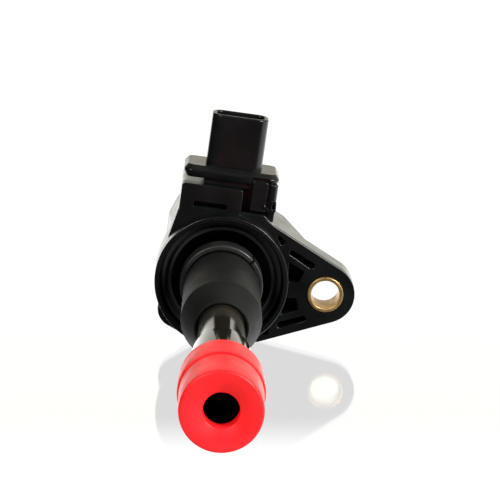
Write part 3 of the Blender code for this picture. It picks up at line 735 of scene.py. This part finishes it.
# Belts of the electronics box, of the body behind the flange, of the web between the flange and
# the block above it, and of the ear's pockets
BOX_CIRCLES = ((-12.8, 24.0, 2.2), (10.7, 24.0, 2.2), (8.9, -9.0, 4.0), (5.5, -12.0, 4.5),
               (-6.5, -12.0, 4.5), (-11.0, -9.0, 4.0))
BODY_FRONT_CIRCLES = ((-13.6, 11.2, 2.9), (-12.2, 15.4, 2.9), (13.0, 13.0, 2.5), (12.6, -9.0, 4.0),
                      (8.0, -12.0, 4.5), (-8.0, -12.0, 4.5), (-12.4, -9.0, 4.0))
BODY_REAR_CIRCLES = ((-14.5, 11.2, 2.9), (-12.9, 15.6, 2.9), (13.9, 12.8, 2.5), (13.3, -9.0, 4.0),
                     (8.0, -13.0, 4.5), (-8.0, -13.0, 4.5), (-13.4, -9.0, 4.0))
WEB_CIRCLES = ((15.8, 13.5, 0.6), (9.6, 18.9, 0.8), (0.0, 18.9, 0.8), (8.0, 8.0, 0.8))
EAR_POCKETS = (
    ((19.4, 9.75, 0.75), (25.6, 6.75, 0.95)),
    ((19.4, 6.3, 0.5), (23.2, 4.35, 0.5), (22.1, 1.7, 0.5), (20.0, 1.5, 0.5)),
    ((20.0, -4.2, 0.5), (22.3, -4.2, 0.5), (22.9, -6.6, 0.5), (19.2, -8.4, 0.5)),
    ((19.0, -12.1, 0.95), (25.4, -9.3, 0.8)),
    ((13.0, -15.6, 0.7), (15.2, -14.9, 0.7), (15.0, -13.9, 0.7)),
    ((15.0, 13.9, 0.5), (16.5, 12.6, 0.5), (16.2, 12.0, 0.4)),
)


def grooved_flange():
    """The flange, with crisp rims and a parting groove close behind its front face."""
    belt = flange_circles()
    profile = ((0.25, FLANGE_FACE), (0.07, FLANGE_FACE + 0.07), (0.0, FLANGE_FACE + 0.25),
               (0.0, FLANGE_FACE + 1.4), (0.6, FLANGE_FACE + 1.55), (0.6, FLANGE_FACE + 2.3),
               (0.0, FLANGE_FACE + 2.4), (0.0, EAR_REAR - 0.4), (0.12, EAR_REAR - 0.12),
               (0.4, EAR_REAR))
    return stack([(around(inset(belt, shrink), 16), along) for shrink, along in profile])


def gusset(foot, tip, thickness, rise, knee):
    """A rib on the ear's rear face beside the box. It keeps its full rise over the knee's share
    of its length, and slopes down to the ear from there."""
    foot, tip = Vector(foot), Vector(tip)
    along = (tip - foot).normalized()
    half = Vector((-along.y, along.x)) * (thickness / 2.0)
    sunk, bend_at = EAR_REAR - 1.0, foot.lerp(tip, knee)
    bm = bmesh.new()
    rows = []
    for side in (half, -half):
        near, middle, far = foot + side, bend_at + side, tip + side
        corners = [(near, sunk), (near, rise), (middle, rise), (far, EAR_REAR + 0.6), (far, sunk)]
        rows.append([bm.verts.new((p.x, level, p.y)) for p, level in corners])
    bm.faces.new(rows[0])
    bm.faces.new(rows[1])
    count = len(rows[0])
    for k in range(count):
        j = (k + 1) % count
        bm.faces.new((rows[0][k], rows[0][j], rows[1][j], rows[1][k]))
    return softened(bm, 0.3)


def make_head():
    """Head with its collar and moat, neck, flange, ear and electronics box."""
    collar = [(COLLAR_FACE, 0.0, 0.0), (COLLAR_FACE, COLLAR_R, 0.35), (COLLAR_REAR, COLLAR_R, 0.2),
              (COLLAR_REAR, 0.0, 0.0)]
    ob = new_object("head_moulding", lathe(rounded(collar, 4), 160))
    block = box_circles(BLOCK_LEFT, BLOCK_RIGHT, 12.0, BLOCK_TOP, 0.9)
    combine(
        ob, "UNION",
        grooved_flange(),
        slab(WEB_CIRCLES, FLANGE_FACE + 0.02, EAR_REAR - 0.02, 0.35),
        slab(block, FLANGE_FACE - 0.02, BOX_FRONT + 1.0, 0.4),
        slab(BOX_CIRCLES, BOX_FRONT, HEAD_REAR, 0.4),
        slab(BODY_FRONT_CIRCLES, BODY_FRONT, HEAD_REAR - 1.2, 0.4, top=BODY_REAR_CIRCLES),
        gusset((11.5, 16.55), (22.8, 11.14), 1.8, HEAD_REAR - 0.3, 0.45),
        gusset((14.0, -12.5), (26.0, -10.6), 1.8, HEAD_REAR - 4.0, 0.1),
    )
    mouth_r = MOAT_R + 0.3
    moat = [(COLLAR_FACE - 2.0, 0.0, 0.0), (COLLAR_FACE - 2.0, mouth_r, 0.0),
            (COLLAR_FACE + 0.02, mouth_r, 0.0), (COLLAR_FACE + 0.35, MOAT_R, 0.3),
            (MOAT_FLOOR, MOAT_R, 0.4), (MOAT_FLOOR, 0.0, 0.0)]
    combine(ob, "DIFFERENCE", lathe(rounded(moat, 3), 160))
    neck = [(NECK_FRONT, 0.0, 0.0), (NECK_FRONT, NECK_R, 0.3), (MOAT_FLOOR + 0.8, NECK_R, 0.0),
            (MOAT_FLOOR + 0.8, 0.0, 0.0)]
    combine(ob, "UNION", lathe(rounded(neck, 3), 160))
    bore = [(NECK_FRONT - 2.0, 0.0), (NECK_FRONT - 2.0, SLEEVE_INNER_R),
            (CAVITY_FRONT + 3.0, SLEEVE_INNER_R), (CAVITY_FRONT + 3.0, 0.0)]
    seat_r, rim_r = BUSH_R + 0.06, BUSH_R + 0.35
    bush = [(FLANGE_FACE - 2.0, 0.0, 0.0), (FLANGE_FACE - 2.0, rim_r, 0.0),
            (FLANGE_FACE + 0.02, rim_r, 0.0), (FLANGE_FACE + 0.3, seat_r, 0.2),
            (EAR_REAR - 0.3, seat_r, 0.2), (EAR_REAR - 0.02, rim_r, 0.0),
            (EAR_REAR + 2.0, rim_r, 0.0), (EAR_REAR + 2.0, 0.0, 0.0)]
    inner = inset(BOX_CIRCLES, WALL)
    block_inner = box_circles(BLOCK_LEFT + WALL, 11.2, 21.2, BLOCK_TOP - WALL, 0.5)
    lead_way = box_circles(-7.6, 6.2, 143.6, 148.4, 0.5)
    block_slot = box_circles(-10.9, -1.3, 19.7, 21.3, 0.15)
    combine(
        ob, "DIFFERENCE",
        lathe(bore, 160),
        hollow(inner, HEAD_REAR, CAVITY_FRONT, 0.25, 0.0),
        slab(block_inner, BOX_FRONT + 1.7, CAVITY_FRONT + 1.0, 0.05),
        hollow(lead_way, BLOCK_TOP, BLOCK_TOP - 3.0, 0.2, 0.0, upright=True),
        lathe(rounded(bush, 3), 96, (BUSH_X, BUSH_Z)),
        hollow(block_slot, FLANGE_FACE - 0.02, FLANGE_FACE + 3.0, 0.12),
        *[hollow(circles, FLANGE_FACE, FLANGE_FACE + POCKET_DEPTH, 0.22)
          for circles in EAR_POCKETS],
    )
    dress(ob, HEAD, "satin_black_plastic", "head_housing")


# ---------------------------------------------------------------- connector


def make_connector():
    """Top plate with a leg at its right, the skirt that enters the head, and the plug's socket."""
    cx, cy = CONNECTOR_X, CONNECTOR_ALONG
    half_w, half_d, corner = CONNECTOR_WIDTH / 2.0, CONNECTOR_DEPTH / 2.0, CONNECTOR_CORNER
    low = box_circles(-14.2, 12.0, 138.7, 154.4, 2.0)
    wide = box_circles(-15.0, 12.8, 137.9, 155.2, 2.8)
    high = box_circles(-14.2, 12.0, 139.4, 154.4, 2.2)
    plate = ((inset(low, 0.3), PLATE_BOTTOM), (low, PLATE_BOTTOM + 0.2),
             (wide, PLATE_BOTTOM + 1.75), (wide, PLATE_BOTTOM + 2.15),
             (inset(wide, 0.15), PLATE_BOTTOM + 2.4), (high, PLATE_TOP - 0.25),
             (inset(high, 0.3), PLATE_TOP))
    levels = [(around(circles), level) for circles, level in plate]
    ob = new_object("connector_moulding", stack(levels, upright=True))
    outer = box_circles(cx - half_w, cx + half_w, cy - half_d, cy + half_d, corner)
    cavity = inset(outer, CONNECTOR_WALL)
    rear = cy + half_d
    latch = [(rear - 0.6, LATCH_BOTTOM), (rear + LATCH_REACH, LATCH_BOTTOM),
             (rear + LATCH_REACH, LATCH_LIP), (rear - 0.6, LATCH_TOP)]
    skirt = box_circles(-8.9, 12.0, 139.6, 153.6, 0.8)
    tongue = box_circles(-7.3, 5.9, 143.9, 148.1, 0.5)
    leg = box_circles(5.3, 12.6, LEG_RECESS_FLOOR, 141.1, 0.6)
    leg_edge = box_circles(9.0, 12.8, LEG_FRONT, 141.1, 1.4)
    combine(
        ob, "UNION",
        slab(skirt, BLOCK_TOP + 0.05, PLATE_BOTTOM + 0.8, 0.2, True),
        slab(tongue, BLOCK_TOP - 2.0, PLATE_BOTTOM + 0.6, 0.2, True),
        slab(leg, 20.3, PLATE_BOTTOM + 0.9, 0.4, True),
        slab(leg_edge, 20.5, PLATE_BOTTOM + 0.95, 0.5, True),
        slab(outer, PLATE_BOTTOM + 1.0, CONNECTOR_TOP, 0.5, True, steps=12),
        softened(sideways(latch, cx - LATCH_HALF_WIDTH, cx + LATCH_HALF_WIDTH), 0.2),
    )
    holes = []
    for i in (-1, 0, 1):
        x = cx + i * PIN_PITCH
        half_x, half_y = PIN_WIDTH / 2.0 + 0.1, PIN_THICKNESS / 2.0 + 0.1
        hole = box_circles(x - half_x, x + half_x, cy - half_y, cy + half_y, 0.12)
        holes.append(slab(hole, BLOCK_TOP - 3.0, SOCKET_FLOOR + 1.0, 0.05, True))
    undercut = box_circles(-16.0, -9.6, 140.0, 156.5, 0.3)
    leg_recess = box_circles(4.6, 10.6, 19.0, 30.2, 1.3)
    leg_panel = box_circles(5.3, 9.9, 20.2, 29.2, 0.8)
    clip_loop = ((12.0, 23.6, 0.85), (12.15, 21.4, 0.85))
    clip_eye = ((12.0, 22.9, 0.36), (12.1, 22.0, 0.36))
    clip_dash = ((9.3, 22.4, 0.3), (10.3, 21.4, 0.3))
    clip_rear = LEG_RECESS_FLOOR - 0.1
    combine(
        ob, "DIFFERENCE",
        hollow(cavity, CONNECTOR_TOP, SOCKET_FLOOR, 0.5, 0.1, True, 12),
        slab(undercut, PLATE_BOTTOM - 1.0, PLATE_BOTTOM + 1.6, 0.1, True),
        hollow(leg_recess, LEG_FRONT, LEG_RECESS_FLOOR, 0.4, 0.0),
        *holes,
    )
    combine(
        ob, "UNION",
        slab(leg_panel, LEG_FRONT + 0.2, LEG_RECESS_FLOOR + 0.8, 0.4),
        slab(clip_loop, CLIP_FRONT, clip_rear, 0.3),
        slab(clip_dash, CLIP_FRONT + 0.4, clip_rear, 0.2),
    )
    combine(ob, "DIFFERENCE", hollow(clip_eye, CLIP_FRONT, clip_rear, 0.2, 0.0))
    dress(ob, HEAD, "satin_black_plastic", "connector_housing")


def make_pins():
    """Three blades with pointed tips and a foot that turns back inside the head."""
    half_t, tip, half_tip = PIN_THICKNESS / 2.0, 0.9, 0.12
    low, y = PIN_FOOT, CONNECTOR_ALONG
    outline = [(y - half_t, low), (y + PIN_REACH, low), (y + PIN_REACH, low + PIN_THICKNESS),
               (y + half_t, low + PIN_THICKNESS), (y + half_t, PIN_TOP - tip),
               (y + half_tip, PIN_TOP), (y - half_tip, PIN_TOP), (y - half_t, PIN_TOP - tip)]
    for i in (-1, 0, 1):
        x = CONNECTOR_X + i * PIN_PITCH
        blade = sideways(outline, x - PIN_WIDTH / 2.0, x + PIN_WIDTH / 2.0)
        bm = softened(blade, 0.12, 25.0)
        ob = new_object(f"blade_{i + 2}", bm)
        dress(ob, HEAD, "tinned_copper", f"terminal_pin_{i + 2}")


def make_bush():
    """Rolled brass bush with a step inside."""
    front, rear = FLANGE_FACE - 0.25, EAR_REAR + 0.25
    ledge, ledge_r = front + 7.5, BUSH_BORE_R + 0.45
    corners = [(front, BUSH_BORE_R, 0.3), (front, BUSH_R, 0.25), (rear, BUSH_R, 0.4),
               (rear, ledge_r, 0.3), (ledge + 0.35, ledge_r, 0.15), (ledge, BUSH_BORE_R, 0.2)]
    ob = new_object("compression_bush", lathe(rounded(corners, 4), 96, (BUSH_X, BUSH_Z)))
    dress(ob, HEAD, "brass", "mounting_bush", weighted=False)


def make_resin():
    """Poured resin, which creeps up the walls of the box in a thin meniscus."""
    outline = inset(BOX_CIRCLES, WALL + 0.02)
    middle_z, half_width, half_height = 6.0, 16.0, 19.0
    top = RESIN_REAR + 0.25
    levels = [(around(outline), RESIN_REAR - 2.4), (around(outline), top)]
    for creep, drop in ((0.25, 0.02), (0.6, 0.14), (1.1, 0.22), (1.9, 0.26)):
        across, upward = 1.0 - creep / half_width, 1.0 - creep / half_height
        inner = [(x * across, middle_z + (z - middle_z) * upward, max(r, 0.1))
                 for x, z, r in outline]
        levels.append((around(inner), top - drop))
    ob = new_object("rear_resin", stack(levels))
    dress(ob, HEAD, "epoxy", "potting_resin")


def dress_carried_nodes():
    """The inner pieces keep their CAD shape and take their detailed material."""
    for entry in frame["record"]["subparts"]:
        ob = frame["nodes"][entry["node"]]
        if not ob.hide_render:
            ob.data.materials.clear()
            ob.data.materials.append(MATERIALS[entry["material_slot"]])


# ---------------------------------------------------------------- stage


def spread_node(tree, value, low, high, to_low=0.0, to_high=1.0):
    """A smooth step of a value from low to high."""
    node = tree.nodes.new("ShaderNodeMapRange")
    node.interpolation_type = "SMOOTHSTEP"
    node.inputs["From Min"].default_value = low
    node.inputs["From Max"].default_value = high
    node.inputs["To Min"].default_value = to_low
    node.inputs["To Max"].default_value = to_high
    tree.links.new(value, node.inputs["Value"])
    return node


def make_floor():
    """White acrylic, lit from below, glossy beyond the boot and plain in front of it."""
    mesh = bpy.data.meshes.new("floor")
    half = FLOOR_HALF
    corners = [(-half, -half, 0.0), (half, -half, 0.0), (half, half, 0.0), (-half, half, 0.0)]
    mesh.from_pydata(corners, [], [(0, 1, 2, 3)])
    floor = bpy.data.objects.new("floor", mesh)
    bpy.context.scene.collection.objects.link(floor)
    mat = bpy.data.materials.new("white_acrylic")
    mat.use_nodes = True
    tree = mat.node_tree
    tree.nodes.clear()
    where = tree.nodes.new("ShaderNodeTexCoord")
    split = tree.nodes.new("ShaderNodeSeparateXYZ")
    tree.links.new(where.outputs["Object"], split.inputs["Vector"])
    fade = spread_node(tree, split.outputs["Y"], cad_box[0].y + FLOOR_GLOSS_BEGINS,
                       cad_box[0].y + FLOOR_GLOSS_FULL, 0.0, FLOOR_GLOSS)
    glow = tree.nodes.new("ShaderNodeEmission")
    glow.inputs["Color"].default_value = WHITE
    glow.inputs["Strength"].default_value = FLOOR_GLOW
    gloss = tree.nodes.new("ShaderNodeBsdfGlossy")
    gloss.inputs["Color"].default_value = FLOOR_GLOSS_COLOUR
    gloss.inputs["Roughness"].default_value = FLOOR_GLOSS_ROUGHNESS
    mix = tree.nodes.new("ShaderNodeMixShader")
    out = tree.nodes.new("ShaderNodeOutputMaterial")
    tree.links.new(fade.outputs["Result"], mix.inputs[0])
    tree.links.new(glow.outputs["Emission"], mix.inputs[1])
    tree.links.new(gloss.outputs["BSDF"], mix.inputs[2])
    tree.links.new(mix.outputs["Shader"], out.inputs["Surface"])
    mesh.materials.append(mat)
    floor.visible_glossy = False


def area_light(name, place, target, size, power):
    """A square lamp aimed at a point."""
    light = bpy.data.lights.new(name, "AREA")
    light.size = size
    light.energy = power
    ob = bpy.data.objects.new(name, light)
    ob.location = place
    ob.rotation_euler = (Vector(target) - ob.location).to_track_quat("-Z", "Y").to_euler()
    bpy.context.scene.collection.objects.link(ob)


def make_world():
    """A bright backdrop behind the coil, warmer and dimmer high up, which wraps round its right,
    and a dim studio in front of it. The camera itself sees plain white."""
    world = bpy.data.worlds.new("studio")
    bpy.context.scene.world = world
    world.use_nodes = True
    tree = world.node_tree
    background = tree.nodes["Background"]
    where = tree.nodes.new("ShaderNodeTexCoord")
    split = tree.nodes.new("ShaderNodeSeparateXYZ")
    tree.links.new(where.outputs["Generated"], split.inputs["Vector"])
    turned = tree.nodes.new("ShaderNodeMath")
    turned.operation = "MULTIPLY_ADD"
    turned.inputs[1].default_value = BACKDROP_WRAP
    tree.links.new(split.outputs["X"], turned.inputs[0])
    tree.links.new(split.outputs["Y"], turned.inputs[2])
    glow = spread_node(tree, split.outputs["Z"], *GLOW_HEIGHTS, GLOW_LOW, GLOW_HIGH)
    spread = spread_node(tree, turned.outputs["Value"], BACKDROP_EDGE, BACKDROP_FULL, DIM_STUDIO)
    tree.links.new(glow.outputs["Result"], spread.inputs["To Max"])
    seen = tree.nodes.new("ShaderNodeLightPath")
    pick = tree.nodes.new("ShaderNodeMix")
    pick.inputs["B"].default_value = BACKDROP
    tree.links.new(seen.outputs["Is Camera Ray"], pick.inputs["Factor"])
    tree.links.new(spread.outputs["Result"], pick.inputs["A"])
    tree.links.new(pick.outputs["Result"], background.inputs["Strength"])
    high = spread_node(tree, split.outputs["Z"], *GLOW_HEIGHTS)
    unseen = tree.nodes.new("ShaderNodeMath")
    unseen.operation = "SUBTRACT"
    unseen.use_clamp = True
    tree.links.new(high.outputs["Result"], unseen.inputs[0])
    tree.links.new(seen.outputs["Is Camera Ray"], unseen.inputs[1])
    tint = tree.nodes.new("ShaderNodeValToRGB")
    tint.color_ramp.elements[0].color = WHITE
    tint.color_ramp.elements[1].color = WARM_GLOW
    tree.links.new(unseen.outputs["Value"], tint.inputs["Fac"])
    tree.links.new(tint.outputs["Color"], background.inputs["Color"])


def make_stage():
    """Floor, backdrop and lamps."""
    make_floor()
    make_world()
    for lamp in LIGHTS:
        area_light(*lamp)


def make_camera():
    """A long lens in front of the boot, a little above it."""
    camera = bpy.data.cameras.new("camera")
    camera.lens = CAMERA_LENS
    camera.sensor_width = CAMERA_SENSOR
    camera.clip_start = 0.01
    ob = bpy.data.objects.new("camera", camera)
    bpy.context.scene.collection.objects.link(ob)
    ahead = (AXIS.to_3x3() @ Vector(CAMERA_AHEAD)).normalized()
    ob.location = AXIS @ (Vector(CAMERA_PLACE) * MM)
    ob.rotation_euler = ahead.to_track_quat("-Z", "Y").to_euler()
    bpy.context.scene.camera = ob


make_camera()
make_stage()
for make_piece in (make_boot, make_tube, make_cup, make_spring, make_sleeve, make_ring, make_seal,
                   make_head, make_connector, make_pins, make_bush, make_resin):
    make_piece()
dress_carried_nodes()
bpy.context.scene.view_settings.view_transform = "Standard"
